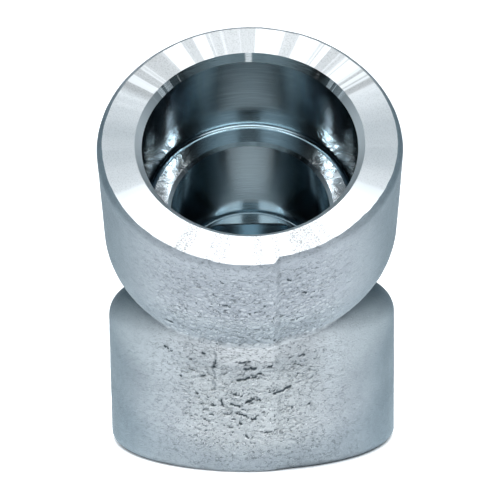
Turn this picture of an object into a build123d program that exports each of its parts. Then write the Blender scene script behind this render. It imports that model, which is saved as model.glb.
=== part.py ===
from build123d import *
import os
from math import sin, cos, radians, sqrt

# Forged socket-weld elbow, forty-five degrees, one solid piece of stainless steel.
# Millimetres. Z up. The origin is the centre of the lower end face, and the
# lower socket's axis is the Z axis. The upper leg leans towards -Y.

# ---- driving dimensions -------------------------------------------------
bend_angle = 45.0          # angle between the two bore axes
body_dia = 38.6            # outside diameter of both socket bands
centre_to_face = 25.0      # bend centre to each end face
socket_dia = 27.3          # bore that takes the pipe end (26.7 mm pipe)
socket_depth = 14.2        # end face to socket floor
socket_lead_in = 0.85      # 45 degree chamfer at the mouth
socket_corner = 0.65       # fillet between socket wall and floor
flow_dia = 20.9            # waterway through the bend
flow_lead_in = 0.45        # 45 degree chamfer where the waterway leaves the floor
flow_reach_upper = 29.75   # upper end face to the flat end of its drilled waterway
flow_reach_lower = 27.65   # lower end face to the flat end of its drilled waterway
flow_corner = 0.4          # corner left by the drill's insert
rim_round = 0.8            # rounding of each end face's outer edge
shoulder_back = 4.3        # bend centre to the back plane of each band
shoulder_round = 3.6       # rounding of each band's back edge
neck_dia = 29.8            # waist between the bands, ball-shaped at the bend
neck_fillet = 0.8          # hollow fillet between the waist and a band's back
crease_fillet = 4.0        # hollow fillet along the inner crease, at the middle
crease_run_out = 17.0      # radius of the form that the crease fillet fades out with
crease_sink = 0.03         # how far that form lies under the bands
flash_left = -4.9          # trimmed flash land: its two long edges, in X
flash_right = 3.2
flash_rise = 0.12          # how far the land stands above the band
die_shift = 0.75           # mismatch of the two dies, seen on the +X side

# ---- derived --------------------------------------------------------------
R = body_dia / 2
L = centre_to_face
rs = socket_dia / 2
rf = flow_dia / 2
rn = neck_dia / 2
half = radians(bend_angle / 2)
bend = Vector(0, 0, L)
mitre = Plane(origin=bend, x_dir=(1, 0, 0), z_dir=(0, -sin(half), cos(half)))
inward = Vector(0, cos(half), sin(half))   # in the mitre plane, from the crease to the outer bend


def turned(points_and_arcs):
    """A solid turned round Z from a half section in the XZ plane."""
    with BuildPart() as p:
        with BuildSketch(Plane.XZ):
            with BuildLine():
                for kind, *pts in points_and_arcs:
                    if kind == "line":
                        Line(*pts)
                    else:
                        ThreePointArc(*pts)
            make_face()
        revolve(axis=Axis.Z)
    return p.part


def quarter(centre, radius, start, mid, end):
    """Three points of a circular arc, given the angles in degrees."""
    return [
        (centre[0] + radius * cos(radians(t)), centre[1] + radius * sin(radians(t)))
        for t in (start, mid, end)
    ]


# ---- one leg: band, rounded shoulder, waist and half of the ball ------------
top = L - shoulder_back
rim = quarter((R - rim_round, rim_round), rim_round, -90, -45, 0)
shoulder = quarter((R - shoulder_round, top - shoulder_round), shoulder_round, 0, 45, 90)
hollow = quarter((rn + neck_fillet, top + neck_fillet), neck_fillet, 270, 225, 180)
ball = quarter((0, L), rn, 0, 45, 90)
section = [
    ("line", (0, 0), rim[0]),
    ("arc", *rim),
    ("line", rim[2], shoulder[0]),
    ("arc", *shoulder),
]
if shoulder[2][0] - hollow[0][0] > 1e-6:
    section.append(("line", shoulder[2], hollow[0]))
section += [
    ("arc", *hollow),
    ("line", hollow[2], ball[0]),
    ("arc", *ball),
    ("line", ball[2], (0, 0)),
]
leg = turned(section)

# The trimmed flash land down the front, in the plane of the bend.
land_foot = rim_round + 0.1
land_head = L - shoulder_back - 1.0
land = Pos(0, 0, (land_foot + land_head) / 2) * Cylinder(R + flash_rise, land_head - land_foot)
land = land & (
    Pos((flash_left + flash_right) / 2, -R, (land_foot + land_head) / 2)
    * Box(flash_right - flash_left, R, land_head - land_foot)
)

# The +X die closed a little behind the other one, so that side is set back at the front.
set_back = Pos(flash_right + R, -R, L / 2) * Box(2 * R, 2 * R, 4 * L)
set_back -= Pos(0, die_shift, 0) * Cylinder(R, 6 * L)
leg = leg - set_back + land

# ---- one bore: mouth chamfer, socket, floor, waterway ------------------------
floor = socket_depth
wall_foot = quarter((rs - socket_corner, floor - socket_corner), socket_corner, 0, 45, 90)
out = 2.0


def bored(reach):
    """What the drill and the boring tool take out of one leg, along Z from below."""
    drill_foot = quarter((rf - flow_corner, reach - flow_corner), flow_corner, 0, 45, 90)
    # Turned so that its start lies in the plane of the bend, away from the two
    # points where the equal waterways touch.
    return Rot(0, 0, 90) * turned([
        ("line", (0, -out), (rs + socket_lead_in, -out)),
        ("line", (rs + socket_lead_in, -out), (rs + socket_lead_in, 0)),
        ("line", (rs + socket_lead_in, 0), (rs, socket_lead_in)),
        ("line", (rs, socket_lead_in), wall_foot[0]),
        ("arc", *wall_foot),
        ("line", wall_foot[2], (rf + flow_lead_in, floor)),
        ("line", (rf + flow_lead_in, floor), (rf, floor + flow_lead_in)),
        ("line", (rf, floor + flow_lead_in), drill_foot[0]),
        ("arc", *drill_foot),
        ("line", drill_foot[2], (0, reach)),
        ("line", (0, reach), (0, -out)),
    ])


# ---- the hollow fillet of the inner crease -----------------------------------
# Two narrower cylinders touch the bands from inside along the front, meet in the
# mitre plane and are filleted there. Only the fillet stands clear of the bands,
# widest in the middle and fading out to both sides.
slim = split(
    Pos(0, crease_sink + crease_run_out - R, L) * Cylinder(crease_run_out, 2 * L),
    mitre,
    keep=Keep.BOTTOM,
)
slim = slim + slim.mirror(mitre)
slim = slim & (Pos(0, -R, L - 8) * Box(20, R * 1.2, 16))
crease = [
    e
    for e in slim.edges()
    if all(abs((e.position_at(t) - bend).dot(mitre.z_dir)) < 1e-4 for t in (0, 0.5, 1))
    and e.position_at(0.5).Y < -R + 0.5
]
web = slim.fillet(crease_fillet, crease)


def moved_in(shape, distance, x_from, x_to):
    """The part of a shape between two X values, moved towards the outer bend."""
    shift = inward * (distance / cos(half))
    slab = Pos((x_from + x_to) / 2, -R, L) * Box(x_to - x_from, 2 * R, 4 * L)
    return (Pos(*shift) * shape) & slab


# ---- both legs, joined over the mitre plane ----------------------------------
body = leg + leg.mirror(mitre)
body = body + moved_in(web, 0, -R, flash_left + 0.01)
body = body + moved_in(web, -flash_rise, flash_left, flash_right)
body = body + moved_in(web, die_shift, flash_right - 0.01, R)
body = body - bored(flow_reach_lower) - bored(flow_reach_upper).mirror(mitre)

os.makedirs("parts", exist_ok=True)
solids = body.solids()
print("solids", len(solids), "volume", round(sum(s.volume for s in solids), 1))
elbow = solids[0]
elbow.label = "elbow_body"
bb = elbow.bounding_box()
print("box", [round(v, 3) for v in (*bb.min, *bb.max)], "valid", elbow.is_valid)
print("faces", len(elbow.faces()), "smallest", sorted(round(f.area, 3) for f in elbow.faces())[:8])
export_step(elbow, "parts/elbow_body.step")
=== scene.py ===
import math

import bmesh
import bpy
import numpy as np
from mathutils import Matrix, Vector


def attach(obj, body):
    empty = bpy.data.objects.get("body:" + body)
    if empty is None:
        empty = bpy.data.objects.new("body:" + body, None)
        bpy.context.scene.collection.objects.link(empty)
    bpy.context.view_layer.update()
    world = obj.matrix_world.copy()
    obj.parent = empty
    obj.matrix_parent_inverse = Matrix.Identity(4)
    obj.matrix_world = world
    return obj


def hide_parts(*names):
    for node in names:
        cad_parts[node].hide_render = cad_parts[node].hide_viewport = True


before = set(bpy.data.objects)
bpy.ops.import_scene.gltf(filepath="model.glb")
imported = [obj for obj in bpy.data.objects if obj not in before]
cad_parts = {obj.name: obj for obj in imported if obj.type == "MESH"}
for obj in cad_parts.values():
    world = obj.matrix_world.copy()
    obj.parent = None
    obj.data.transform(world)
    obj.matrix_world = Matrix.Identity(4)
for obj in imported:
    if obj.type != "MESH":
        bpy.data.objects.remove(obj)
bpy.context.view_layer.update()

# ---- the elbow's dimensions, in millimetres, as in the CAD source -----------
R = 19.3                 # socket band
L = 25.0                 # bend centre to each end face
RS = 13.65               # socket
SOCKET_DEPTH = 14.2
LEAD_IN = 0.85
SOCKET_CORNER = 0.65
RF = 10.45               # waterway
FLOW_LEAD_IN = 0.45
REACH_LOWER = 27.65
REACH_UPPER = 29.75
FLOW_CORNER = 0.4
SHOULDER_BACK = 4.3
SHOULDER_ROUND = 3.6
NECK = 14.9
NECK_FILLET = 0.8
CREASE_FILLET = 4.0
CREASE_RUN_OUT = 17.0
CREASE_SINK = 0.03
FLASH_LEFT, FLASH_RIGHT, FLASH_RISE = -4.9, 3.2, 0.12
DIE_SHIFT = 0.75
HALF = math.radians(22.5)
MITRE = np.array([0.0, -math.sin(HALF), math.cos(HALF)])
SEED = 4177


# ---- noise ------------------------------------------------------------------
rng = np.random.RandomState(SEED)
PERM = rng.permutation(512)
GRAD = rng.normal(size=(512, 3))
GRAD /= np.linalg.norm(GRAD, axis=1, keepdims=True)


def noise(x, y, z, salt=0):
    """Gradient noise, about -1 to 1, with a period of one unit."""
    x, y, z = np.broadcast_arrays(x, y, z)
    xi, yi, zi = np.floor(x).astype(int), np.floor(y).astype(int), np.floor(z).astype(int)
    fx, fy, fz = x - xi, y - yi, z - zi
    ux, uy, uz = (f * f * f * (f * (f * 6 - 15) + 10) for f in (fx, fy, fz))
    total = 0.0
    for dx in (0, 1):
        wx = ux if dx else 1 - ux
        for dy in (0, 1):
            wy = uy if dy else 1 - uy
            for dz in (0, 1):
                wz = uz if dz else 1 - uz
                h = PERM[(xi + dx + salt * 37) % 512]
                h = PERM[(h + yi + dy) % 512]
                h = PERM[(h + zi + dz) % 512]
                g = GRAD[h]
                total = total + wx * wy * wz * (
                    g[..., 0] * (fx - dx) + g[..., 1] * (fy - dy) + g[..., 2] * (fz - dz)
                )
    return total * 1.9


def ramp(x, lo, hi):
    t = np.clip((x - lo) / (hi - lo), 0, 1)
    return t * t * (3 - 2 * t)


# ---- the outer form as an implicit surface ----------------------------------
# q is relative to the bend centre; everything is worked out on the lower leg's
# side of the mitre plane and mirrored over it.
def mirrored(q):
    return q - 2 * (q @ MITRE)[..., None] * MITRE


def round_join(d1, d2, radius, c):
    """Union of two surfaces with a hollow fillet; c is the cosine between their normals."""
    e1, e2 = d1 - radius, d2 - radius
    s2 = np.maximum(1 - c * c, 1e-4)
    a1, a2 = (e1 - c * e2) / s2, (e2 - c * e1) / s2
    inside = (a1 < 0) & (a2 < 0)
    rolled = radius - np.sqrt(np.maximum(e1 * e1 + e2 * e2 - 2 * c * e1 * e2, 0) / s2)
    return np.where(inside, rolled, np.minimum(d1, d2))


def leg_distance(q):
    r = np.hypot(q[..., 0], q[..., 1])
    z = q[..., 2]
    mid = (-L - 6 - SHOULDER_BACK) / 2
    half_height = (L + 6 - SHOULDER_BACK) / 2
    dr = r - (R - SHOULDER_ROUND)
    dz = np.abs(z - mid) - (half_height - SHOULDER_ROUND)
    band = np.minimum(np.maximum(dr, dz), 0) + np.hypot(np.maximum(dr, 0), np.maximum(dz, 0)) - SHOULDER_ROUND
    on_axis = np.clip(z, -L - 6, 0)
    neck = np.hypot(r, z - on_axis) - NECK
    return round_join(band, neck, NECK_FILLET, np.zeros_like(r))


def slim_distance(q):
    return np.hypot(q[..., 0], q[..., 1] - (CREASE_SINK + CREASE_RUN_OUT - R)) - CREASE_RUN_OUT


def front_offset(q, upper):
    """How far the forging's two dies and the trimmed flash move the front."""
    x, y = q[..., 0], q[..., 1]
    r = np.maximum(np.hypot(x, y), 1e-6)
    cosine = np.clip(-y / r, 0, 1)
    wob = 0.16 * noise(x * 0 + 3.1, q[..., 2] / 2.6, 0.7, 11) + 0.08 * noise(x * 0 + 1.7, q[..., 2] / 0.9, 2.3, 12)
    wide = 0.9 + 1.3 * ramp(-q[..., 2], 9.0, 24.0) if not upper else 1.0 - 0.55 * ramp(-q[..., 2], 12.0, 23.0)
    right = ramp((x - FLASH_RIGHT - wob) / wide, -1.0, 1.0)
    left = ramp(x - wob, FLASH_LEFT - 0.35, FLASH_LEFT + 0.35)
    front = ramp(cosine, 0.0, 0.25)
    return front * (FLASH_RISE * left * (1 - right) - DIE_SHIFT * cosine * right)


def distance(q, upper=False):
    other = mirrored(q)
    r = np.maximum(np.hypot(q[..., 0], q[..., 1]), 1e-6)
    cosine = np.clip(-q[..., 1] / r, 0, 1)
    c = 1 - 2 * cosine**2 * math.sin(HALF) ** 2
    front = ramp(-q[..., 1], 2.0, 9.0)
    d = round_join(leg_distance(q), leg_distance(other), 0.25 + 0.9 * front, np.minimum(c, 0.985))
    web = round_join(slim_distance(q), slim_distance(other), CREASE_FILLET, np.minimum(c, 0.985))
    web = web + 0.8 * ramp(np.abs(q[..., 0]), 9.0, 14.0) + 5.0 * ramp(np.abs(q[..., 0]), 10.6, 14.0)
    web = np.where((-q[..., 1] > 7.7) & (np.abs(q[..., 0]) < 14), web, 99.0)
    return np.minimum(d, web) - front_offset(q, upper)


def cast(origin, direction, upper, far=26.0):
    """Distance along each ray to the surface, from inside."""
    lo = np.full(origin.shape[:-1], 11.0)
    hi = np.full(origin.shape[:-1], far)
    for _ in range(34):
        mid = (lo + hi) / 2
        inside = distance(origin + mid[..., None] * direction, upper) < 0
        lo, hi = np.where(inside, mid, lo), np.where(inside, hi, mid)
    return (lo + hi) / 2


# ---- columns round the bore axes, close together at the front ---------------
def spread(edges_and_steps):
    """Positions with a given local step; [(from, to, step), ...] in degrees."""
    out = []
    for a, b, step in edges_and_steps:
        n = max(1, int(round((b - a) / step)))
        out += [a + (b - a) * k / n for k in range(n)]
    return np.array(out)


COLUMNS = np.radians(spread([
    (-180, -112, 2.6), (-112, -76, 1.5), (-76, -44, 0.95), (-44, 44, 0.56), (44, 76, 0.95), (76, 112, 1.5), (112, 180, 2.6),
]))
NC = len(COLUMNS)
SIN, COS = np.sin(COLUMNS), np.cos(COLUMNS)

# ---- rows of the outer skin: level, then fanned about a line ahead of the crease
PIVOT = 40.0
FAN_FROM = -PIVOT * math.tan(HALF)
rim_rows = 9
LEVEL_FROM = -23.45
level = np.linspace(LEVEL_FROM, FAN_FROM, int(round((FAN_FROM - LEVEL_FROM) / 0.165)), endpoint=False)
turns = np.radians(spread([
    (0, 10.2, 0.43), (10.2, 13.6, 0.22), (13.6, 19.5, 0.42), (19.5, 22.5, 0.3),
]))
turns = np.append(turns, HALF)

rows = []
for z in level:
    o = np.zeros((NC, 3)); o[:, 2] = z
    d = np.stack([SIN, -COS, 0 * SIN], -1)
    rows.append((o, d))
for b in turns:
    o = np.zeros((NC, 3)); o[:, 2] = FAN_FROM + PIVOT * math.tan(b)
    d = np.stack([SIN, -COS * math.cos(b), -COS * math.sin(b)], -1)
    rows.append((o, d))
origin = np.stack([o for o, d in rows]); direction = np.stack([d for o, d in rows])
RIM = 1.15
rim_in = R - RIM
rim_end = math.acos((R - 0.8 - rim_in) / RIM)


def gradient(q, upper, e=1e-3):
    g = np.stack([distance(q + e * v, upper) - distance(q - e * v, upper) for v in np.eye(3)], -1)
    return g / np.maximum(np.linalg.norm(g, axis=-1, keepdims=True), 1e-9)


def rim_size(upper):
    """Rounding of an end's outer edge, all the way round; the face cuts it off unevenly."""
    t = R * COLUMNS
    closed = [3 * SIN, 3 * COS]
    if upper:
        size = 1.02 + 0.09 * noise(*closed, 0.5, 71) + 0.06 * noise(5 * closed[0], 5 * closed[1], 0.5, 72)
        ragged = ramp(np.abs(t - 15.5), 7.0, 2.0)
        return size + ragged * (0.12 * noise(9 * closed[0], 9 * closed[1], 0.5, 73) + 0.10)
    left = ramp(np.abs(t + 20.0), 16.0, 6.0)
    return 1.15 + 0.35 * left + 0.05 * noise(*closed, 0.5, 74)


def half_skin(upper):
    """Rows of points and normals from an end face to the mitre plane."""
    base = origin + cast(origin, direction, upper)[..., None] * direction
    # the rounded rim below the first level row, cut off square by the end face
    ring_r = np.hypot(base[0, :, 0], base[0, :, 1])
    size = rim_size(upper)
    rim = []
    for k in range(rim_rows, 0, -1):
        a = rim_end * k / rim_rows
        rr = ring_r - size + size * math.cos(a)
        zz = -L + size * (math.sin(rim_end) - math.sin(a))
        rim.append(np.stack([rr * SIN, -rr * COS, zz], -1))
    base = np.concatenate([np.array(rim), base])
    normal = gradient(base, upper)
    for k in range(rim_rows):
        a = rim_end * (rim_rows - k) / rim_rows
        normal[k] = np.stack([SIN * math.cos(a), -COS * math.cos(a), np.full(NC, -math.sin(a))], -1)
    return base, normal


half_rows = rim_rows + len(rows)


# ---- relief -----------------------------------------------------------------
# Bold scratches and laps of the forging: leg (1 is the upper one), place round it
# and along it from the bend centre, half length, width, depth, slope in degrees.
MARKS = [
    (0, -11.92, -9.05, 0.42, 0.25, 1.0, -32), (0, -11.13, -9.37, 0.36, 0.22, 0.9, -12), (0, -9.87, -9.44, 0.30, 0.18, 0.6, -1), (0, -6.43, -9.46, 0.35, 0.25, 1.0, -30),
    (0, -8.25, -10.31, 0.25, 0.24, 1.0, -10), (0, -7.52, -10.58, 0.35, 0.18, 0.6, 4), (0, -4.74, -7.83, 0.36, 0.25, 0.9, -52), (0, -4.84, -10.35, 0.34, 0.24, 0.9, -74),
    (0, -5.05, -11.05, 0.24, 0.25, 1.0, 11), (0, -9.72, -12.69, 0.23, 0.22, 0.8, -11), (0, -6.52, -12.35, 0.42, 0.21, 0.8, 13), (0, -1.00, -10.44, 0.78, 0.17, 0.9, 12),
    (0, -0.37, -11.21, 0.89, 0.21, 1.0, 2), (0, -1.74, -12.76, 0.45, 0.22, 0.9, 9), (0, -0.84, -12.50, 0.47, 0.24, 1.0, 16), (0, 0.12, -12.31, 0.40, 0.21, 0.8, 18),
    (0, 0.83, -11.90, 0.33, 0.21, 0.9, 16), (0, 1.54, -11.13, 0.41, 0.18, 0.7, 21), (0, 2.31, -10.93, 0.40, 0.20, 0.8, 16), (0, 3.06, -10.44, 0.26, 0.17, 0.5, -98),
    (0, 6.69, -9.96, 0.55, 0.22, 0.9, -2), (0, 5.03, -10.14, 0.25, 0.20, 0.7, 19), (0, 6.06, -11.12, 0.79, 0.18, 0.8, -19), (0, 6.11, -12.40, 0.20, 0.24, 0.9, 4),
    (0, 3.18, -14.55, 0.65, 0.25, 0.9, 5), (0, 4.49, -14.11, 0.73, 0.25, 1.0, 25), (0, 6.24, -13.50, 0.57, 0.18, 0.6, 15), (0, 7.64, -13.15, 0.87, 0.17, 0.6, 14),
    (0, -7.32, -14.65, 0.21, 0.24, 0.9, -13), (0, -7.33, -15.28, 0.35, 0.20, 0.6, 10), (0, -6.83, -16.06, 0.24, 0.21, 0.8, 4), (0, -8.22, -17.70, 0.22, 0.20, 0.8, -12),
    (0, -6.45, -18.08, 0.24, 0.22, 0.9, -12), (0, -7.19, -18.81, 0.28, 0.18, 0.6, -9), (0, -5.34, -14.15, 0.70, 0.18, 0.6, 17), (0, -2.62, -15.93, 0.40, 0.25, 0.9, -18),
    (0, -1.91, -16.18, 0.33, 0.24, 0.9, -11), (0, -1.28, -16.57, 0.33, 0.21, 0.8, -12), (0, -0.36, -15.39, 0.61, 0.21, 1.0, 18), (0, -0.24, -15.75, 0.33, 0.17, 0.6, 17),
    (0, -3.28, -17.23, 0.65, 0.20, 0.7, 5), (0, -1.80, -17.17, 0.47, 0.22, 0.9, -16), (0, -0.97, -17.52, 0.42, 0.21, 0.8, -23), (0, -0.01, -17.86, 0.45, 0.24, 1.0, -5),
    (0, -1.65, -18.35, 0.32, 0.25, 1.0, -24), (0, -3.05, -18.97, 0.39, 0.20, 0.7, -8), (0, -0.81, -20.20, 0.35, 0.24, 0.9, -23), (0, -7.61, -20.47, 0.26, 0.20, 0.7, -18),
    (0, 1.82, -19.76, 0.65, 0.18, 0.7, -5), (0, 5.87, -17.02, 0.40, 0.17, 0.6, -60), (0, 5.10, -19.80, 0.28, 0.20, 0.6, -18), (0, 0.61, -14.29, 0.53, 0.18, 0.7, -16),
    (0, 1.62, -15.43, 0.55, 0.18, 0.6, -23), (0, -3.42, -13.32, 0.59, 0.18, 0.6, -5), (0, -14.91, -14.86, 0.28, 0.20, 0.5, -4), (0, -19.09, -10.60, 0.39, 0.18, 0.4, -4),
    (0, 3.92, -11.74, 0.33, 0.17, 0.5, 8), (0, 8.21, -12.12, 0.73, 0.16, 0.5, -12), (0, 1.96, -14.00, 0.38, 0.20, 0.7, -33), (0, -2.21, -14.64, 0.52, 0.20, 0.7, -10),
    (0, -3.98, -16.16, 0.47, 0.20, 0.6, -14), (0, 1.09, -16.86, 0.52, 0.18, 0.6, -9), (0, -9.99, -11.07, 0.38, 0.18, 0.5, -14), (0, -8.68, -11.93, 0.36, 0.17, 0.5, -5),
    (0, -9.03, -14.67, 0.37, 0.17, 0.5, -15), (0, -5.49, -11.17, 0.38, 0.17, 0.4, -28), (1, -11.26, -8.57, 0.64, 0.35, 1.0, -15), (1, -17.09, -6.58, 0.52, 0.26, 0.6, 12),
    (1, -10.03, -15.11, 0.72, 0.26, 0.6, 27), (1, -8.85, -14.22, 0.78, 0.26, 0.5, 46), (1, -5.95, -22.51, 0.48, 0.26, 0.4, -35), (1, -3.70, -21.65, 0.36, 0.35, 0.7, 47),
    (1, -3.15, -16.40, 0.66, 0.30, 0.7, 18), (1, -7.08, -16.41, 0.51, 0.28, 0.6, 25), (1, -5.09, -17.98, 0.45, 0.28, 0.5, 8), (1, -9.10, -9.05, 0.50, 0.33, 0.7, 1),
    (1, -7.90, -8.76, 0.28, 0.39, 0.9, 14), (1, -1.59, -9.24, 0.39, 0.30, 0.6, 12), (1, 4.88, -20.32, 0.52, 0.39, 0.9, 52), (1, 7.03, -16.71, 0.42, 0.41, 1.0, 36),
    (1, 2.08, -16.72, 0.78, 0.28, 0.5, 36), (1, 6.45, -11.32, 0.74, 0.30, 0.6, -5), (1, 7.24, -8.83, 0.42, 0.33, 0.7, 10), (1, 3.05, -20.87, 0.29, 0.26, 0.5, -32),
    (1, -5.82, -22.35, 0.34, 0.33, 0.5, 42), (1, 3.99, -12.89, 0.53, 0.33, 0.6, 43), (1, 5.19, -10.49, 0.46, 0.33, 0.6, 31), (1, 9.88, -9.01, 0.37, 0.33, 0.6, 0),
    (1, -1.00, -20.17, 0.76, 0.26, 0.5, 14), (1, -0.92, -15.22, 0.65, 0.28, 0.5, 18), (1, -5.43, -13.85, 0.67, 0.28, 0.5, 31), (1, -12.62, -14.59, 0.40, 0.30, 0.5, -3),
]


def marked(t, z, upper):
    """Depth of the bold marks and height of the lip below each, 0 to 1."""
    out, lip = np.zeros_like(t), np.zeros_like(t)
    for leg, mt, mz, half, width, depth, slope in MARKS:
        if leg != int(upper):
            continue
        near = (np.abs(t - mt) < half + 0.6) & (np.abs(z - mz) < half + 0.6)
        a = math.radians(slope)
        dt, dz = t[near] - mt, z[near] - mz
        u = dt * math.cos(a) + dz * math.sin(a)
        v = dz * math.cos(a) - dt * math.sin(a) + 0.14 * noise(u / 0.42, mt, mz, 91)
        w = (0.5 * width + 0.03) * (1 + 0.45 * noise(u / 0.3, mz, mt, 92))
        ends = depth * ramp(np.abs(u), half + 0.08, half - 0.10)
        out[near] = np.maximum(out[near], ends * np.exp(-(v / w) ** 2))
        lip[near] = np.maximum(lip[near], ends * np.exp(-((v + 2.0 * w) / (1.1 * w)) ** 2))
    return out, lip


def creases(t, z, along, across, width, salt):
    """Short valley lines that run round the band, 0 to 1."""
    wt = t + 0.35 * noise(t / 1.3, z / 0.9, 0.5, salt + 1)
    wz = z + 0.20 * noise(t / 1.1, z / 0.8, 4.5, salt + 2)
    n = noise(wt / along, wz / across, 0.3, salt)
    line = np.clip(1 - np.abs(n) / width, 0, 1)
    gate = ramp(noise(t / 0.9, z / 0.55, 8.1, salt + 3), 0.0, 0.35)
    return line * line * (3 - 2 * line) * gate


def worked(t, z, upper):
    """Where the forging is wrinkled: the middle of the front, 0 to 1."""
    edge = 1.8 * noise(t / 3.2, z / 2.2, 1.5, 31)
    patch = 0.72 + 0.28 * ramp(noise(t / 2.4, z / 1.7, 6.5, 33), -0.35, 0.25)
    if upper:
        m = ramp(np.abs(t + 1.0) + edge, 17.0, 8.0) * ramp(-z, 24.0, 22.4)
        return m * (0.6 + 0.4 * ramp(-z, 22.0, 17.0)) * patch
    m = ramp(np.abs(t + 0.6) + edge, 13.5, 6.0) * ramp(-z + 0.6 * edge, 23.0, 19.5)
    return m * (0.25 + 0.75 * ramp(-z, 9.0, 11.2)) * patch


def relief(q, upper):
    """Height of the forged skin over its mean in mm, and how deep its cuts are, 0 to 1."""
    x, y, z = q[..., 0], q[..., 1], q[..., 2]
    t = R * np.arctan2(x, -y)
    salt = 60 if upper else 0
    zz = z + (17 if upper else 0)
    m = worked(t, z, upper)
    h = 0.03 * noise(x / 5.0, y / 5.0, zz / 5.0, 1)
    wavy = 1.6 if upper else 1.25
    h = h + wavy * (0.006 + 0.032 * m) * noise(t / 2.5, zz / 0.66, 2.2, 2 + salt)
    h = h + wavy * (0.004 + 0.028 * m) * noise(t / 1.5, zz / 0.45, 5.2, 3 + salt)
    first = creases(t, zz, 1.9, 0.85, 0.34, 5 + salt)
    second = creases(t, zz, 1.1, 0.58, 0.40, 15 + salt)
    pits = ramp(noise(t / 0.62, zz / 0.44, 3.9, 25 + salt), 0.42, 0.75)
    bold, lip = marked(t, z, upper)
    strength = 3.2 if upper else 2.2
    h = h - strength * ((0.004 + 0.066 * m) * first + (0.003 + 0.056 * m) * second)
    h = h - (0.010 + 0.075 * m) * pits - 0.22 * bold + 0.08 * lip * (bold < 0.3)
    carved = np.clip(np.maximum.reduce([0.62 * first * m, 0.5 * second * m, (0.15 + 0.6 * m) * pits, bold]), 0, 1)
    return h, carved


def frame_point(q, upper):
    p = mirrored(q) if upper else q
    return p + np.array([0, 0, L])


skin_halves = []
for upper in (False, True):
    base, normal = half_skin(upper)
    h, carved = relief(base, upper)
    q = base + h[..., None] * normal
    q[0, :, 2] = -L
    # which way each spot of the relief leans: up the elbow is positive; the skin's colour uses it for painted light and
    # shade on the relief
    spacing = np.maximum(np.linalg.norm(np.gradient(base, axis=0), axis=-1), 0.02)
    lean = np.clip(np.gradient(h, axis=0) / spacing * (1.0 if upper else -1.0) * 1.3, -1, 1)
    lean[:3] = 0
    skin_halves.append((q, carved, lean))

grid = np.concatenate([
    frame_point(skin_halves[0][0], False)[:-1],
    ((frame_point(skin_halves[0][0], False)[-1:] + frame_point(skin_halves[1][0], True)[-1:]) / 2),
    frame_point(skin_halves[1][0], True)[:-1][::-1],
])
carved = np.concatenate([skin_halves[0][1][:-1], (skin_halves[0][1][-1:] + skin_halves[1][1][-1:]) / 2, skin_halves[1][1][:-1][::-1]])
lean = np.concatenate([skin_halves[0][2], skin_halves[1][2][:-1][::-1]])
NR = len(grid)


# ---- the mesh: skin rows, then the machined rings of both ends ---------------
verts, faces, finish = [], [], []   # finish: 0 forged, 1 turned face, 2 bore, 3 chamfer, 4 floor


def add_grid(rings, mark, closed_from=None):
    """Adds rings of NC points; the first ring may be one that is there already."""
    index = []
    for k, ring in enumerate(rings):
        if k == 0 and closed_from is not None:
            index.append(closed_from)
            continue
        at = len(verts)
        verts.extend(map(tuple, ring))
        index.append(np.arange(at, at + NC))
    for k in range(len(index) - 1):
        a, b = index[k], index[k + 1]
        an, bn = np.roll(a, -1), np.roll(b, -1)
        for j in range(NC):
            faces.append((a[j], an[j], bn[j], b[j]))
            finish.append(mark)
    return index


skin_index = add_grid(grid, 0)


def leg_ring(radius, s, upper):
    """A ring round a leg's axis, s mm from the bend centre towards the end face."""
    q = np.stack([radius * SIN, -radius * COS, np.full(NC, -s)], -1)
    return frame_point(q, upper)


def machined(end_ring, end_index, upper):
    """End face, lead-in, socket, floor and waterway lead-in of one leg."""
    centre = frame_point(np.array([[0, 0, -L]]), upper)[0]
    out = [end_ring]
    outer = end_ring - centre
    r_out = np.linalg.norm(outer, axis=1)
    n_face = 6
    face = []
    for k in range(1, n_face + 1):
        f = k / n_face
        rr = r_out + (RS + LEAD_IN - r_out) * f
        face.append(leg_ring(rr, L, upper))
    flip = upper
    ids = add_oriented([end_ring] + face, 1, end_index, flip)
    last = ids[-1]
    n = 2
    ids = add_oriented([None] + [leg_ring(RS + LEAD_IN * (1 - k / n), L - LEAD_IN * k / n, upper) for k in range(1, n + 1)], 3, last, flip)
    last = ids[-1]
    top, foot = L - LEAD_IN, L - SOCKET_DEPTH + SOCKET_CORNER
    n = 6
    ids = add_oriented([None] + [leg_ring(RS, top + (foot - top) * k / n, upper) for k in range(1, n + 1)], 2, last, flip)
    last = ids[-1]
    n = 6
    ids = add_oriented([None] + [
        leg_ring(RS - SOCKET_CORNER * (1 - math.cos(math.pi / 2 * k / n)), foot - SOCKET_CORNER * math.sin(math.pi / 2 * k / n), upper)
        for k in range(1, n + 1)], 2, last, flip)
    last = ids[-1]
    n = 2
    a, b = RS - SOCKET_CORNER, RF + FLOW_LEAD_IN
    ids = add_oriented([None] + [leg_ring(a + (b - a) * k / n, L - SOCKET_DEPTH, upper) for k in range(1, n + 1)], 4, last, flip)
    last = ids[-1]
    n = 1
    ids = add_oriented([None] + [
        leg_ring(RF + FLOW_LEAD_IN * (1 - k / n), L - SOCKET_DEPTH - FLOW_LEAD_IN * k / n, upper) for k in range(1, n + 1)], 3, last, flip)
    return ids[-1]


def add_oriented(rings, mark, first_index, flip):
    at = len(faces)
    ids = add_grid(rings, mark, first_index)
    if not flip:
        for k in range(at, len(faces)):
            faces[k] = faces[k][::-1]
    return ids


# the skin's rows run from the lower end to the upper one
lower_in = machined(grid[0], skin_index[0], False)
upper_in = machined(grid[-1], skin_index[-1], True)


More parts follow.
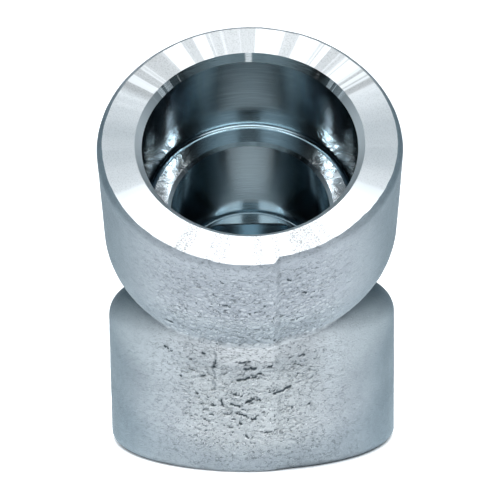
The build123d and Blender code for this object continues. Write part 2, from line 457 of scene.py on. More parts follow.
# ---- the two waterways, drilled from both ends, with their flat drill ends ---
def plug(reach, upper):
    """A closed drill form; its wide end's columns match the socket floor's."""
    top = L - reach
    mid_columns = COLUMNS + np.append(np.diff(COLUMNS), 2 * math.pi - (COLUMNS[-1] - COLUMNS[0])) / 2
    ms, mc = np.sin(mid_columns), np.cos(mid_columns)
    start_s = L - SOCKET_DEPTH - FLOW_LEAD_IN
    profile = [(RF, start_s)]
    n = 7
    foot = top + FLOW_CORNER
    profile += [(RF, start_s + (foot - start_s) * k / n) for k in range(1, n + 1)]
    n = 3
    profile += [
        (RF - FLOW_CORNER * (1 - math.cos(math.pi / 2 * k / n)), foot - FLOW_CORNER * math.sin(math.pi / 2 * k / n))
        for k in range(1, n + 1)
    ]
    profile += [((RF - FLOW_CORNER) * f, top) for f in (0.6,)]
    v, f = [], []
    for k, (r, s) in enumerate(profile):
        shift = upper and k > 0
        sn, cs = (ms, mc) if shift else (SIN, COS)
        q = np.stack([r * sn, -r * cs, np.full(NC, -s)], -1)
        v.extend(frame_point(q, upper))
    for k in range(len(profile) - 1):
        for j in range(NC):
            a, b = k * NC + j, k * NC + (j + 1) % NC
            f.append((a, b, b + NC, a + NC))
    v.append(frame_point(np.array([[0, 0, -top]]), upper)[0])
    tip = len(v) - 1
    at = (len(profile) - 1) * NC
    for j in range(NC):
        f.append((at + j, at + (j + 1) % NC, tip))
    v.append(frame_point(np.array([[0, 0, -start_s - 6]]), upper)[0])
    cap = len(v) - 1
    caps = []
    for j in range(NC):
        caps.append(len(f))
        f.append(((j + 1) % NC, j, cap))
    me = bpy.data.meshes.new("plug")
    if upper:
        f = [p[::-1] for p in f]
    me.from_pydata([tuple(p) for p in v], [], f)
    for k in caps:
        me.polygons[k].material_index = 1
    for m in ("helper_wall", "helper_cap"):
        me.materials.append(bpy.data.materials.new(m))
    ob = bpy.data.objects.new("plug", me)
    bpy.context.scene.collection.objects.link(ob)
    return ob


low, up = plug(REACH_LOWER, False), plug(REACH_UPPER, True)
cut = low.modifiers.new("join", "BOOLEAN")
cut.operation, cut.object, cut.solver = "UNION", up, "EXACT"
joined = bpy.data.meshes.new_from_object(low.evaluated_get(bpy.context.evaluated_depsgraph_get()))
core_v = [tuple(v.co) for v in joined.vertices]
cap_slots = {i for i, m in enumerate(joined.materials) if m and m.name.startswith("helper_cap")}
core_f = [tuple(p.vertices)[::-1] for p in joined.polygons if p.material_index not in cap_slots]
bpy.data.meshes.remove(joined)
for o in (low, up):
    helper = o.data
    bpy.data.objects.remove(o)
    bpy.data.meshes.remove(helper)
for m in [m for m in bpy.data.materials if m.name.startswith("helper_")]:
    bpy.data.materials.remove(m)
at = len(verts)
verts.extend(core_v)
faces.extend(tuple(i + at for i in p) for p in core_f)
finish.extend([2] * len(core_f))

mesh = bpy.data.meshes.new("elbow_steel")
mesh.from_pydata([(x * 0.001, y * 0.001, z * 0.001) for x, y, z in verts], [], [tuple(int(i) for i in f) for f in faces])
mesh.polygons.foreach_set("material_index", np.array(finish, np.int32))
for name, values in (("carved", carved), ("lean", lean)):
    a = mesh.attributes.new(name, "FLOAT", "POINT")
    a.data.foreach_set("value", np.concatenate([values.ravel(), np.zeros(len(verts) - values.size)]).astype(np.float32))
body = bpy.data.objects.new("elbow_steel", mesh)
bpy.context.scene.collection.objects.link(body)
bm = bmesh.new()
bm.from_mesh(mesh)
bmesh.ops.remove_doubles(bm, verts=bm.verts, dist=2e-6)
loose = [v for v in bm.verts if not v.link_faces]
bmesh.ops.delete(bm, geom=loose, context="VERTS")
for f in bm.faces:
    f.smooth = True
for e in bm.edges:
    if len(e.link_faces) == 2:
        fa, fb = e.link_faces
        if fa.material_index != fb.material_index or (fa.material_index > 0 and e.calc_face_angle() > math.radians(24)):
            e.smooth = False
bm.to_mesh(mesh)
bm.free()

# ---- coordinates that the materials use ---------------------------------------
finish_of_faces = np.empty(len(mesh.polygons), np.int32); mesh.polygons.foreach_get("material_index", finish_of_faces)
nv, nl = len(mesh.vertices), len(mesh.loops)
co = np.empty(nv * 3); mesh.vertices.foreach_get("co", co)
co = co.reshape(-1, 3) * 1000 - np.array([0, 0, L])
above = co @ MITRE > 0
folded = np.where(above[:, None], mirrored(co), co)
apart = co @ MITRE


def attribute(name, kind, values):
    a = mesh.attributes.new(name, kind, "POINT")
    a.data.foreach_set("vector" if kind == "FLOAT_VECTOR" else "value", np.ascontiguousarray(values, np.float32).ravel())


attribute("leg_mm", "FLOAT_VECTOR", folded)
attribute("apart_mm", "FLOAT", apart)

loop_vert = np.empty(nl, np.int32); mesh.loops.foreach_get("vertex_index", loop_vert)
starts = np.empty(len(mesh.polygons), np.int32); mesh.polygons.foreach_get("loop_start", starts)
counts = np.empty(len(mesh.polygons), np.int32); mesh.polygons.foreach_get("loop_total", counts)
poly_of = np.repeat(np.arange(len(counts)), counts)
other = mirrored(co)
r_low, r_up = np.hypot(co[:, 0], co[:, 1]), np.hypot(other[:, 0], other[:, 1])
z_low, z_up = co[:, 2], other[:, 2]


def per_face(values, how):
    return how.reduceat(values[loop_vert], starts)


def bored_by(r, z, reach):
    """Faces that lie on one drill's wall or on its flat end."""
    near = per_face(z, np.maximum) < reach - L + 0.05
    wall = per_face(np.abs(r - RF), np.maximum) < 0.04
    end = (per_face(z, np.minimum) > reach - L - FLOW_CORNER - 0.05) & (per_face(r, np.maximum) < RF + 0.04)
    return near & (wall | end)


low = bored_by(r_low, z_low, REACH_LOWER)
up = bored_by(r_up, z_up, REACH_UPPER)
below = per_face(co @ MITRE, np.add) < 0
lower_face = np.where(low & ~up, True, np.where(up & ~low, False, below))
on_lower = lower_face[poly_of]
p = np.where(on_lower[:, None], co[loop_vert], other[loop_vert])
angle = np.arctan2(p[:, 0], -p[:, 1])
cx = np.add.reduceat(p[:, 0], starts) / counts
cy = np.add.reduceat(p[:, 1], starts) / counts
middle = np.arctan2(cx, -cy)[poly_of]
angle = middle + (angle - middle + math.pi) % (2 * math.pi) - math.pi
uv = mesh.uv_layers.new(name="turned")
uv.data.foreach_set("uv", np.stack([angle / (2 * math.pi) + 0.5, (np.hypot(p[:, 0], p[:, 1]) - p[:, 2]) / 40.0], -1).astype(np.float32).ravel())


# ---- true normals for everything that was turned or bored ---------------------
normals = np.empty(nl * 3); mesh.corner_normals.foreach_get("vector", normals)
normals = normals.reshape(-1, 3)
kind = np.array([f for f in finish_of_faces])
r_l, s_l = np.hypot(p[:, 0], p[:, 1]), -p[:, 2]
r_c = (np.add.reduceat(r_l, starts) / counts)[poly_of]
s_c = (np.add.reduceat(s_l, starts) / counts)[poly_of]
reach = np.where(on_lower, REACH_LOWER, REACH_UPPER)
floor_s, foot_s, end_s = L - SOCKET_DEPTH, L - SOCKET_DEPTH + SOCKET_CORNER, L - reach
nr, ns = np.zeros(nl), np.zeros(nl)
drill_end = (s_c < end_s + 1e-3)[starts] & (finish_of_faces == 2)
finish_of_faces[drill_end] = 4
mesh.polygons.foreach_set("material_index", finish_of_faces)


def normal_where(test, radial, axial):
    nr[test] = (radial + 0 * nr)[test] if np.ndim(radial) else radial
    ns[test] = (axial + 0 * ns)[test] if np.ndim(axial) else axial


eps = 1e-3
normal_where(np.full(nl, True), -1.0, 0.0)
normal_where(s_c > L - eps, 0.0, 1.0)
normal_where((s_c < L - eps) & (s_c > L - LEAD_IN), -1.0, 1.0)
corner = (s_c < foot_s) & (s_c > floor_s + eps) & (r_c > RF + FLOW_LEAD_IN)
normal_where(corner, (RS - SOCKET_CORNER - r_l) / SOCKET_CORNER, (foot_s - s_l) / SOCKET_CORNER)
normal_where((np.abs(s_c - floor_s) < eps), 0.0, 1.0)
normal_where((s_c < floor_s - eps) & (s_c > floor_s - FLOW_LEAD_IN + eps) & (r_c > RF + eps), -1.0, 1.0)
corner = (s_c < end_s + FLOW_CORNER) & (s_c > end_s + eps) & (r_c < RF - 1e-2)
normal_where(corner, (RF - FLOW_CORNER - r_l) / FLOW_CORNER, (end_s + FLOW_CORNER - s_l) / FLOW_CORNER)
normal_where(s_c < end_s + eps, 0.0, 1.0)
length = np.maximum(np.hypot(nr, ns), 1e-9)
nr, ns = nr / length, ns / length
local = np.stack([nr * p[:, 0] / np.maximum(r_l, 1e-6), nr * p[:, 1] / np.maximum(r_l, 1e-6), -ns], -1)
turned_normals = np.where(on_lower[:, None], local, mirrored(local))
flat_normals = np.empty(len(mesh.polygons) * 3); mesh.polygons.foreach_get("normal", flat_normals)
agree = (turned_normals * flat_normals.reshape(-1, 3)[poly_of]).sum(1) > 0.85
cut = (kind[poly_of] > 0) & agree
normals[cut] = turned_normals[cut]
mesh.normals_split_custom_set([tuple(v) for v in normals])


# ---- node helpers --------------------------------------------------------------
class Nodes:
    """A thin writer of shader nodes: values in, sockets out."""

    def __init__(self, tree):
        self.tree = tree
        self.x = 0

    def node(self, kind, **props):
        n = self.tree.nodes.new(kind)
        self.x += 40
        n.location = (self.x, -self.x % 700)
        for k, v in props.items():
            setattr(n, k, v)
        return n

    def put(self, socket, value):
        if isinstance(value, bpy.types.NodeSocket):
            self.tree.links.new(value, socket)
        else:
            socket.default_value = value

    def math(self, op, a, b=None, c=None, clamp=False):
        n = self.node("ShaderNodeMath", operation=op, use_clamp=clamp)
        for s, v in zip(n.inputs, (a, b, c)):
            if v is not None:
                self.put(s, v)
        return n.outputs[0]

    def add(self, a, b): return self.math("ADD", a, b)
    def sub(self, a, b): return self.math("SUBTRACT", a, b)
    def mul(self, a, b): return self.math("MULTIPLY", a, b)
    def ab(self, a): return self.math("ABSOLUTE", a)

    def step(self, value, lo, hi, to_lo=0.0, to_hi=1.0, smooth=True):
        n = self.node("ShaderNodeMapRange", interpolation_type="SMOOTHSTEP" if smooth else "LINEAR", clamp=True)
        for k, v in zip(("Value", "From Min", "From Max", "To Min", "To Max"), (value, lo, hi, to_lo, to_hi)):
            self.put(n.inputs[k], v)
        return n.outputs[0]

    def window(self, value, a, b, c, d):
        """0 below a, 1 from b to c, 0 above d."""
        return self.mul(self.step(value, a, b), self.step(value, c, d, 1.0, 0.0))

    def mix(self, factor, a, b, blend="MIX"):
        n = self.node("ShaderNodeMix", data_type="RGBA", blend_type=blend)
        self.put(n.inputs[0], factor)
        for s, v in ((n.inputs[6], a), (n.inputs[7], b)):
            self.put(s, (*v, 1.0) if isinstance(v, tuple) and len(v) == 3 else v)
        return n.outputs[2]

    def blend(self, factor, a, b):
        n = self.node("ShaderNodeMix", data_type="FLOAT")
        self.put(n.inputs[0], factor); self.put(n.inputs[2], a); self.put(n.inputs[3], b)
        return n.outputs[0]

    def combine(self, x, y, z):
        n = self.node("ShaderNodeCombineXYZ")
        for s, v in zip(n.inputs, (x, y, z)):
            self.put(s, v)
        return n.outputs[0]

    def split(self, vector):
        n = self.node("ShaderNodeSeparateXYZ")
        self.put(n.inputs[0], vector)
        return n.outputs

    def stretch(self, vector, scale):
        n = self.node("ShaderNodeVectorMath", operation="MULTIPLY")
        self.put(n.inputs[0], vector); self.put(n.inputs[1], scale)
        return n.outputs[0]

    def shift(self, vector, other):
        n = self.node("ShaderNodeVectorMath", operation="ADD")
        self.put(n.inputs[0], vector); self.put(n.inputs[1], other)
        return n.outputs[0]

    def noise(self, vector, scale=1.0, detail=2.0, rough=0.5, w=None, distortion=0.0, kind="FBM"):
        n = self.node("ShaderNodeTexNoise", noise_dimensions="3D" if w is None else "4D", noise_type=kind)
        self.put(n.inputs["Vector"], vector)
        if w is not None:
            self.put(n.inputs["W"], w)
        self.put(n.inputs["Scale"], scale); self.put(n.inputs["Detail"], detail)
        self.put(n.inputs["Roughness"], rough); self.put(n.inputs["Distortion"], distortion)
        return n.outputs[0]

    def attribute(self, name):
        n = self.node("ShaderNodeAttribute", attribute_name=name, attribute_type="GEOMETRY")
        return n.outputs

    def bump(self, height, distance, strength=1.0, normal=None):
        n = self.node("ShaderNodeBump")
        self.put(n.inputs["Strength"], strength); self.put(n.inputs["Distance"], distance)
        self.put(n.inputs["Height"], height)
        if normal is not None:
            self.put(n.inputs["Normal"], normal)
        return n.outputs[0]


def material(name):
    m = bpy.data.materials.new(name)
    m.use_nodes = True
    return m, Nodes(m.node_tree), m.node_tree.nodes["Principled BSDF"].inputs


def turned_coordinates(n):
    """Angle round the axis, and that angle's sine and cosine, from the lathe map."""
    uv = n.node("ShaderNodeUVMap", uv_map="turned").outputs[0]
    u, v, _ = n.split(uv)
    turn = n.mul(n.sub(u, 0.5), 2 * math.pi)
    return turn, n.math("SINE", turn), n.math("COSINE", turn), n.mul(v, 40.0)


def lathe_tangent(n, shader):
    n.put(shader["Tangent"], n.node("ShaderNodeTangent", direction_type="UV_MAP", uv_map="turned").outputs[0])
    shader["Anisotropic Rotation"].default_value = 0.25


SKIN_DARK, SKIN_LIGHT = (0.385, 0.415, 0.444), (0.44, 0.472, 0.50)

# forged skin: matt grey steel with fine creases, pits and a grain
skin, n, shader = material("forged_skin")
shader["Metallic"].default_value = 1.0
leg = n.attribute("leg_mm")["Vector"]
apart_mm = n.attribute("apart_mm")["Fac"]
apart = n.mul(apart_mm, 0.13)
carved = n.attribute("carved")["Fac"]
lx, ly, lz = n.split(leg)
front = n.math("ARCTAN2", lx, n.mul(ly, -1.0))
middle = n.step(n.ab(front), 0.25, 0.95, 1.0, 0.0)
height_mask = n.window(lz, -24.5, -21.5, -9.0, -7.0)
dense = n.add(n.mul(middle, n.blend(height_mask, 0.4, 0.85)), 0.2)
flat_leg = n.stretch(leg, (1.0, 1.0, 2.1))
wide = n.noise(flat_leg, 1.25, 2.0, 0.55, apart, 0.5)
fine = n.noise(flat_leg, 2.9, 3.0, 0.6, apart, 0.4)
grain = n.noise(leg, 8.0, 2.0, 0.6, apart)
lines = n.step(n.ab(n.sub(wide, 0.5)), 0.0, 0.036, 1.0, 0.0)
gate = n.step(n.noise(flat_leg, 1.3, 1.0, 0.5, n.add(apart, 7.0)), 0.44, 0.56)
lines = n.mul(lines, gate)
specks = n.step(fine, 0.60, 0.69)
lips = n.mul(n.window(wide, 0.530, 0.548, 0.560, 0.585), gate)
cut = n.mul(n.add(n.mul(lines, 0.9), specks), dense)
height = n.add(n.mul(fine, n.mul(dense, 2.0)), n.mul(grain, 0.9))
height = n.add(n.sub(height, n.mul(cut, 1.3)), n.mul(n.mul(lips, dense), 0.8))
n.put(shader["Normal"], n.bump(height, 0.00012, 1.0))
tone = n.noise(leg, 0.22, 3.0, 0.55, apart)
mottle = n.noise(leg, 1.1, 3.0, 0.6, apart)
patchy = n.add(n.mul(tone, 0.6), n.mul(mottle, 0.4))
base_colour = n.mix(n.step(patchy, 0.38, 0.62), SKIN_DARK, SKIN_LIGHT)
# painted highlight: the lips beside the bump's lines are lightened
base_colour = n.mix(n.mul(n.mul(lips, dense), 0.5), base_colour, (0.74, 0.77, 0.80))
# painted light and shade on the relief: lighter where it leans up, darker where it leans down
lean = n.attribute("lean")["Fac"]
base_colour = n.mix(n.mul(n.step(lean, 0.08, 0.62), 0.52), base_colour, (0.76, 0.79, 0.82))
base_colour = n.mix(n.mul(n.step(lean, -0.06, -0.66), 0.58), base_colour, (0.17, 0.20, 0.22))
# painted shade: the skin darkens round its flanks, towards the sides
flank = n.window(n.ab(front), 0.45, 1.30, 1.75, 2.3)
# painted shade in the crease: the upper band darkens just above the mitre, at the front
ahead = n.step(n.ab(front), 1.15, 0.8)
hollow = n.mul(n.window(apart_mm, 0.0, 0.45, 2.2, 6.5), ahead)
# painted shade: the skin darkens towards the foot
foot = n.step(apart_mm, -11.0, -15.0)
# painted light: the middle of the lower band's front is lightened
painted_front_light = n.mul(n.window(n.mul(apart_mm, -1.0), 2.0, 5.0, 11.0, 15.0), n.step(n.ab(front), 0.62, 0.25))
base_colour = n.mix(painted_front_light, base_colour, n.mix(1.0, base_colour, (1.19, 1.17, 1.14), "MULTIPLY"))
# painted light: a light patch just below the crease at the front, stronger on the flash land
painted_crease_light = n.mul(n.window(n.mul(apart_mm, -1.0), 0.05, 0.6, 1.8, 3.2), n.step(n.ab(front), 0.75, 0.35))
land = n.mul(n.step(lx, -5.8, -4.5), n.step(lx, 4.9, 1.6))
base_colour = n.mix(n.mul(painted_crease_light, n.blend(land, 0.26, 0.55)), base_colour, (0.72, 0.735, 0.75))
# painted shade in the crease and towards the foot
base_colour = n.mix(n.add(n.mul(hollow, 0.85), n.mul(foot, 0.85)), base_colour, n.mix(1.0, base_colour, (0.74, 0.78, 0.80), "MULTIPLY"))
# painted shade on the flanks
base_colour = n.mix(flank, base_colour, n.mix(1.0, base_colour, (0.50, 0.59, 0.63), "MULTIPLY"))
# painted light: the lower band is lightened just below the crease, round towards the sides, where the upper band shades
# it
beside_crease = n.mul(n.window(n.mul(apart_mm, -1.0), 0.0, 0.8, 4.0, 8.5), n.window(n.ab(front), 0.38, 0.62, 1.0, 1.5))
base_colour = n.mix(n.mul(beside_crease, 0.30), base_colour, (0.70, 0.75, 0.78))
# painted shade: the upper band's front is darkened
upper_front = n.mul(n.step(apart_mm, 3.0, 7.0), n.step(n.ab(front), 1.0, 0.5))
base_colour = n.mix(upper_front, base_colour, n.mix(1.0, base_colour, (0.84, 0.85, 0.87), "MULTIPLY"))
# the trimmed flash left a fine dark line along each side of its land
waver = n.mul(n.sub(n.noise(leg, 0.75, 3.0, 0.7, apart), 0.5), 1.9)
faint = n.step(n.noise(leg, 0.9, 2.0, 0.5, n.add(apart, 3.0)), 0.38, 0.60)
left_edge = n.mul(n.step(n.ab(n.add(lx, n.add(waver, 4.85))), 0.30, 0.08), n.window(n.mul(apart_mm, -1.0), 0.8, 1.4, 5.0, 6.5))
right_edge = n.mul(n.step(n.ab(n.sub(lx, n.add(waver, 3.25))), 0.42, 0.10), n.window(n.mul(apart_mm, -1.0), -17.0, -14.0, 9.0, 14.0))
edge_line = n.mul(n.add(n.mul(left_edge, 0.5), n.mul(n.mul(right_edge, faint), 0.24)), n.step(ly, 0.0, -6.0))
base_colour = n.mix(edge_line, base_colour, (0.12, 0.15, 0.17))
# painted shade: the upper band's flanks are darkened
high = n.mul(n.step(apart_mm, 2.0, 6.0), n.window(n.ab(front), 0.55, 1.1, 1.8, 2.4))
base_colour = n.mix(high, base_colour, n.mix(1.0, base_colour, (0.84, 0.86, 0.87), "MULTIPLY"))
dark = n.math("MAXIMUM", n.mul(n.step(carved, 0.38, 0.62), 0.95), n.mul(cut, 0.68))
base_colour = n.mix(n.math("MINIMUM", dark, 0.9), base_colour, (0.045, 0.065, 0.08))
n.put(shader["Base Color"], base_colour)
n.put(shader["Roughness"], n.step(grain, 0.3, 0.7, 0.56, 0.68))

# turned end faces: concentric tool marks, with spokes where the tool chattered; the colour holds painted shade and
# highlights by sector
turned, n, shader = material("turned_face")
shader["Metallic"].default_value = 1.0
turn, sn, cs, out = turned_coordinates(n)
wide_angle = n.ab(turn)
spoke = n.noise(n.combine(sn, cs, 0.0), 7.5, 2.0, 0.65)
spoke_fine = n.noise(n.combine(sn, cs, 3.0), 38.0, 1.0, 0.5)
rough_in = n.noise(n.combine(n.mul(sn, 10.0), n.mul(cs, 10.0), out), 8.0, 2.0, 0.6)
marks = n.noise(n.combine(n.mul(sn, 14.0), n.mul(cs, 14.0), n.mul(out, 9.0)), 1.0, 2.0, 0.6)
# three sectors of painted shade, standing in for the lights' reflections: the front dimmed with darker streaks, the
# sides darker, the rear darker still, with lighter spokes where the tool chattered, partly tool marks and partly
# painted highlight
painted_side_shade = n.window(wide_angle, 1.11, 1.15, 2.02, 2.12)
rear = n.step(wide_angle, 2.02, 2.12)
chatter_sheen = n.step(n.add(n.mul(spoke, 0.75), n.mul(spoke_fine, 0.25)), 0.46, 0.55)
speckle = n.step(rough_in, 0.50, 0.60)
column = n.mul(n.step(n.noise(n.combine(sn, cs, 9.0), 6.0, 1.0, 0.5), 0.46, 0.54), n.step(rough_in, 0.47, 0.56))
shade = n.sub(n.sub(1.0, n.mul(rear, 0.23)), n.mul(painted_side_shade, n.add(0.12, n.mul(speckle, 0.10))))
shade = n.sub(shade, n.mul(n.mul(rear, n.sub(1.0, chatter_sheen)), n.add(0.26, n.mul(speckle, 0.11))))
front_sector = n.step(wide_angle, 1.15, 1.11)
shade = n.sub(shade, n.mul(n.step(wide_angle, 0.80, 0.50), n.add(0.24, n.mul(column, 0.42))))
vm = n.node("ShaderNodeVectorMath", operation="SCALE")
n.put(vm.inputs[0], (0.94, 0.955, 0.97)); n.put(vm.inputs["Scale"], shade)
n.put(shader["Base Color"], vm.outputs[0])
n.put(shader["Roughness"], n.step(spoke, 0.35, 0.65, 0.31, 0.40))
shader["Anisotropic"].default_value = 0.85
lathe_tangent(n, shader)
n.put(shader["Normal"], n.bump(n.add(marks, n.mul(rough_in, 0.5)), 0.000012, 1.0))

# lead-in chamfers
lead_in, n, shader = material("lead_in_chamfer")
shader["Metallic"].default_value = 1.0
turn, sn, cs, out = turned_coordinates(n)
spoke = n.noise(n.combine(sn, cs, 0.0), 6.0, 2.0, 0.65)
thin = n.noise(n.combine(sn, cs, 5.0), 17.0, 2.0, 0.6)
# painted highlights: glints in the colour, on spokes round towards the back and on one line at the very back of the
# socket's lead-in
glint = n.mul(n.step(thin, 0.50, 0.57), n.window(n.ab(turn), 2.10, 2.16, 2.42, 2.50))
glint = n.add(glint, n.mul(n.mul(n.step(n.ab(turn), 3.10, 3.125), 0.6), n.step(out, 34.0, 35.0)))
# painted shade: the chamfers' colour goes dark towards the back and stays light at the front and sides
toward_rear = n.step(n.ab(turn), 1.7, 2.5)
ground = n.mix(toward_rear, (0.93, 0.96, 0.98), (0.102, 0.140, 0.158))
n.put(shader["Base Color"], n.mix(n.mul(glint, 0.8), ground, (0.92, 0.95, 0.97)))
n.put(shader["Roughness"], n.blend(toward_rear, 0.36, n.step(spoke, 0.35, 0.65, 0.14, 0.24)))
shader["Anisotropic"].default_value = 0.35
lathe_tangent(n, shader)
n.put(shader["Normal"], n.bump(n.noise(n.combine(n.mul(sn, 14.0), n.mul(cs, 14.0), n.mul(out, 6.0)), 1.0, 2.0, 0.6), 0.00001, 1.0))

# bored socket and waterway
bored, n, shader = material("bored_steel")
shader["Metallic"].default_value = 1.0
shader["Base Color"].default_value = (0.50, 0.61, 0.675, 1)
shader["Anisotropic"].default_value = 0.2
lathe_tangent(n, shader)
turn, sn, cs, out = turned_coordinates(n)
rings = n.noise(n.combine(n.mul(sn, 2.2), n.mul(cs, 2.2), n.mul(out, 4.2)), 1.0, 3.0, 0.65)
streak = n.step(rings, 0.40, 0.66)
steel = n.mix(streak, (0.465, 0.58, 0.635), (0.63, 0.755, 0.81))
away = n.ab(turn)
in_socket = n.step(out, 21.5, 23.5)
# painted shade: the bores darken round their sides, the socket most
beside = n.window(away, 0.75, 1.35, 2.32, 2.72)
steel = n.mix(n.mul(beside, n.blend(in_socket, 0.18, 0.92)), steel, n.mix(1.0, steel, (0.24, 0.27, 0.29), "MULTIPLY"))
# painted light: the bores' walls are lightened at the back, the waterway's most
steel = n.mix(n.mul(n.step(away, 2.20, 2.70), 0.8), steel, n.mix(streak, (0.60, 0.755, 0.825), (0.77, 0.935, 1.0)))
along_pipe = n.mul(n.sub(1.0, in_socket), n.step(away, 2.35, 2.75))
steel = n.mix(n.mul(along_pipe, 0.6), steel, (0.80, 0.94, 1.0))
# painted shade: the socket's side walls are darkened high up
high_up = n.mul(n.step(out, 27.2, 30.5), n.window(away, 0.9, 1.4, 2.45, 2.75))
steel = n.mix(high_up, steel, n.mix(1.0, steel, (0.14, 0.16, 0.18), "MULTIPLY"))
# painted shade: the side walls are darkened low down as well, near the floor
low_down = n.mul(n.window(out, 23.2, 23.8, 27.5, 30.5), n.window(away, 0.9, 1.3, 1.92, 2.18))
steel = n.mix(low_down, steel, n.mix(1.0, steel, (0.40, 0.43, 0.46), "MULTIPLY"))
# painted shade: the socket's corner fillet is darkened except at the back
in_corner = n.mul(n.window(out, 23.5, 23.8, 24.9, 25.3), n.step(away, 2.75, 2.55))
steel = n.mix(in_corner, steel, n.mix(1.0, steel, (0.38, 0.42, 0.45), "MULTIPLY"))
# painted shade: the back of the lower leg's bores is darkened, deep inside
deep = n.mul(n.step(n.attribute("apart_mm")["Fac"], 0.5, -0.5), n.step(away, 2.0, 2.4))
steel = n.mix(deep, steel, n.mix(1.0, steel, (0.5, 0.52, 0.54), "MULTIPLY"))
n.put(shader["Base Color"], steel)
# painted shade: a darker specular tint dims the reflections on the socket's side walls
glancing = n.mul(in_socket, n.window(away, 0.9, 1.3, 1.98, 2.25))
n.put(shader["Specular Tint"], n.mix(glancing, (1.0, 1.0, 1.0), (0.60, 0.61, 0.61)))
off_corner = n.sub(1.0, n.window(out, 23.2, 23.6, 25.0, 25.5))
n.put(shader["Roughness"], n.add(n.blend(in_socket, 0.10, 0.145), n.mul(n.step(away, 2.35, 2.75, 0.0, 0.08), off_corner)))
mottle = n.noise(n.combine(n.mul(sn, 24.0), n.mul(cs, 24.0), n.mul(out, 1.6)), 1.0, 2.0, 0.6, None, 0.8)
mottle = n.mul(mottle, n.mul(n.window(out, 23.4, 24.0, 29.0, 31.5), n.step(away, 2.65, 2.45)))
n.put(shader["Normal"], n.bump(n.add(rings, n.mul(mottle, 2.4)), 0.000012, 1.0))

# socket floors: a duller cut than the wall, mottled where the tool chattered
socket_floor, n, shader = material("socket_floor")
shader["Metallic"].default_value = 1.0
turn, sn, cs, out = turned_coordinates(n)
place = n.combine(n.mul(sn, 12.0), n.mul(cs, 12.0), n.mul(out, 0.9))
mottle = n.noise(place, 0.9, 3.0, 0.6, None, 1.2)
beside = n.step(cs, -0.80, -0.62)
# painted shade: the floors are darkened at the back; they stay light round the sides, at the front and on the drill
# ends
n.put(shader["Base Color"], n.mix(n.math("MAXIMUM", n.step(cs, -0.84, -0.66), n.step(out, 18.0, 15.0)), (0.35, 0.40, 0.43), (0.88, 0.91, 0.93)))
ruffled = n.step(cs, -0.20, -0.38)
n.put(shader["Roughness"], n.blend(beside, 0.08, n.blend(ruffled, n.step(mottle, 0.42, 0.58, 0.17, 0.25), n.step(mottle, 0.42, 0.58, 0.12, 0.30))))
shader["Anisotropic"].default_value = 0.5
lathe_tangent(n, shader)
n.put(shader["Normal"], n.bump(n.mul(mottle, n.add(0.03, n.mul(beside, ruffled))), 0.00005, 1.0))

for m in (skin, turned, bored, lead_in, socket_floor):
    mesh.materials.append(m)
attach(body, "root")
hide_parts("elbow_body")

# ---- floor ------------------------------------------------------------------
fm = bpy.data.meshes.new("floor")
fm.from_pydata([(-4, -4, 0), (4, -4, 0), (4, 4, 0), (-4, 4, 0)], [], [(0, 1, 2, 3)])
floor = bpy.data.objects.new("floor", fm)
bpy.context.scene.collection.objects.link(floor)
pale, n, shader = material("pale_floor")
shader["Base Color"].default_value = (0.88, 0.885, 0.89, 1)
shader["Roughness"].default_value = 0.8
x, y, z = n.split(n.node("ShaderNodeTexCoord").outputs["Object"])
away = n.math("SQRT", n.add(n.mul(x, x), n.mul(y, y)))
# the floor glows evenly to look white, with no glow under the elbow; as painted light, it glows brighter in a ring
# round the foot, most at the sides, to fill the contact shadow, and ahead of the elbow, to light it from below
shader["Emission Color"].default_value = (0.97, 0.99, 1.0, 1)
around = n.mul(n.math("ARCTAN2", n.ab(x), n.mul(y, -1.0)), 57.29578)
ahead = n.mul(n.window(away, 0.020, 0.030, 0.10, 0.30), n.step(around, 62, 38))
n.put(shader["Emission Strength"], n.mul(n.step(away, 0.0180, 0.0197), n.add(n.add(0.66, n.mul(n.window(away, 0.0185, 0.0205, 0.026, 0.05), n.step(around, 20, 55, 0.55, 1.3))), n.mul(ahead, 0.6))))
fm.materials.append(pale)

# ---- camera -----------------------------------------------------------------
yaw, pitch, roll = map(math.radians, (0.1932, -10.4605, -0.7654))
fw = Vector((math.sin(yaw) * math.cos(pitch), math.cos(yaw) * math.cos(pitch), math.sin(pitch)))
rt = fw.cross(Vector((0, 0, 1))).normalized()
upv = rt.cross(fw)
right = rt * math.cos(roll) + upv * math.sin(roll)
upward = -rt * math.sin(roll) + upv * math.cos(roll)
cam_data = bpy.data.cameras.new("camera")
cam = bpy.data.objects.new("camera", cam_data)
bpy.context.scene.collection.objects.link(cam)
cam.matrix_world = Matrix((
    (right.x, upward.x, -fw.x, -0.0010888),
    (right.y, upward.y, -fw.y, -0.2912745),
    (right.z, upward.z, -fw.z, 0.0793729),
    (0, 0, 0, 1),
))
cam_data.sensor_width = 36.0
cam_data.lens = 2193.44 / 500 * 36.0
cam_data.clip_start, cam_data.clip_end = 0.01, 20
bpy.context.scene.camera = cam

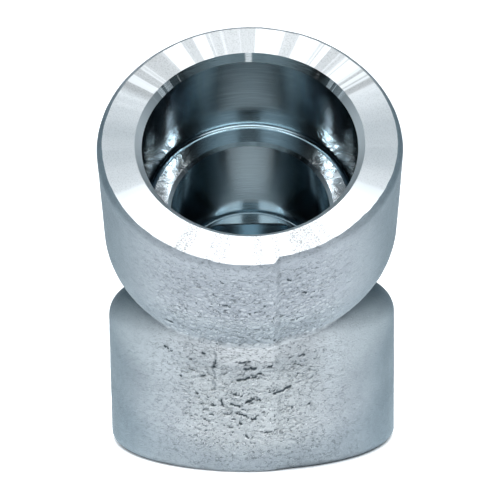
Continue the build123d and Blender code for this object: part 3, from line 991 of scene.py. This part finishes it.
# ---- studio: two soft key lights, a long ceiling light and a pale surround ---
def softbox(name, azimuth, elevation, distance, width, height, radiance, colour):
    a, e = math.radians(azimuth), math.radians(elevation)
    toward = Vector((math.sin(a) * math.cos(e), -math.cos(a) * math.cos(e), math.sin(e)))
    data = bpy.data.lights.new(name, "AREA")
    data.shape, data.size, data.size_y = "RECTANGLE", width, height
    data.energy = radiance * math.pi * width * height
    data.color = colour
    lamp = bpy.data.objects.new(name, data)
    bpy.context.scene.collection.objects.link(lamp)
    lamp.location = Vector((0, 0, 0.03)) + toward * distance
    lamp.rotation_euler = toward.to_track_quat("Z", "Y").to_euler()
    lamp.light_linking.receiver_collection = on_object
    return lamp


# the keys light the object only, so that they throw no hard shadows on the floor
on_object = bpy.data.collections.new("lit_by_keys")
on_object.objects.link(body)
KEY = 52.0
softbox("key_left", -46, 42, 0.9, 0.075, 0.075, KEY, (0.95, 0.99, 1.0))
softbox("key_right", 46, 42, 0.9, 0.075, 0.075, KEY, (0.95, 0.99, 1.0))

world = bpy.data.worlds.new("studio")
bpy.context.scene.world = world
world.use_nodes = True
n = Nodes(world.node_tree)
x, y, z = n.split(n.node("ShaderNodeTexCoord").outputs["Generated"])
az = n.mul(n.math("ARCTAN2", n.ab(x), n.mul(y, -1.0)), 57.29578)      # 0 to the front, 180 to the back
el = n.mul(n.math("ARCSINE", z), 57.29578)
bank = n.mul(n.mul(n.window(el, 41, 50, 67, 76), n.step(az, 60, 38)), n.step(az, 38, 12, 4.1, 6.6))
low_side = n.mul(n.mul(n.window(az, 56, 66, 104, 126), n.step(el, 18, 6)), 0.25)
surround = n.mul(n.mul(n.step(az, 52, 68), n.step(el, 66, 44)), 0.3)
side_high = n.mul(n.mul(n.window(az, 56, 70, 112, 130), n.window(el, 24, 36, 70, 80)), 0.35)
zenith = n.mul(n.step(el, 64, 78), 0.55)
front = n.mul(n.mul(n.step(az, 38, 14), n.step(el, 44, 38)), 0.62)
hole = n.mul(n.step(az, 9, 6.5), n.step(el, 22, 16))
front = n.mul(front, n.sub(1.0, hole))
cool = n.add(low_side, n.add(surround, front))
neutral = n.add(n.add(bank, side_high), zenith)
total = n.add(cool, neutral)
background = world.node_tree.nodes["Background"]
tint = n.mix(n.step(total, 0.0, 1.2), (0.72, 0.93, 1.05), (0.97, 1.0, 1.02))
vm = n.node("ShaderNodeVectorMath", operation="SCALE")
n.put(vm.inputs[0], tint); n.put(vm.inputs["Scale"], total)
n.put(background.inputs["Color"], vm.outputs[0])
background.inputs["Strength"].default_value = 1.0
bpy.context.scene.view_settings.view_transform = "Standard"
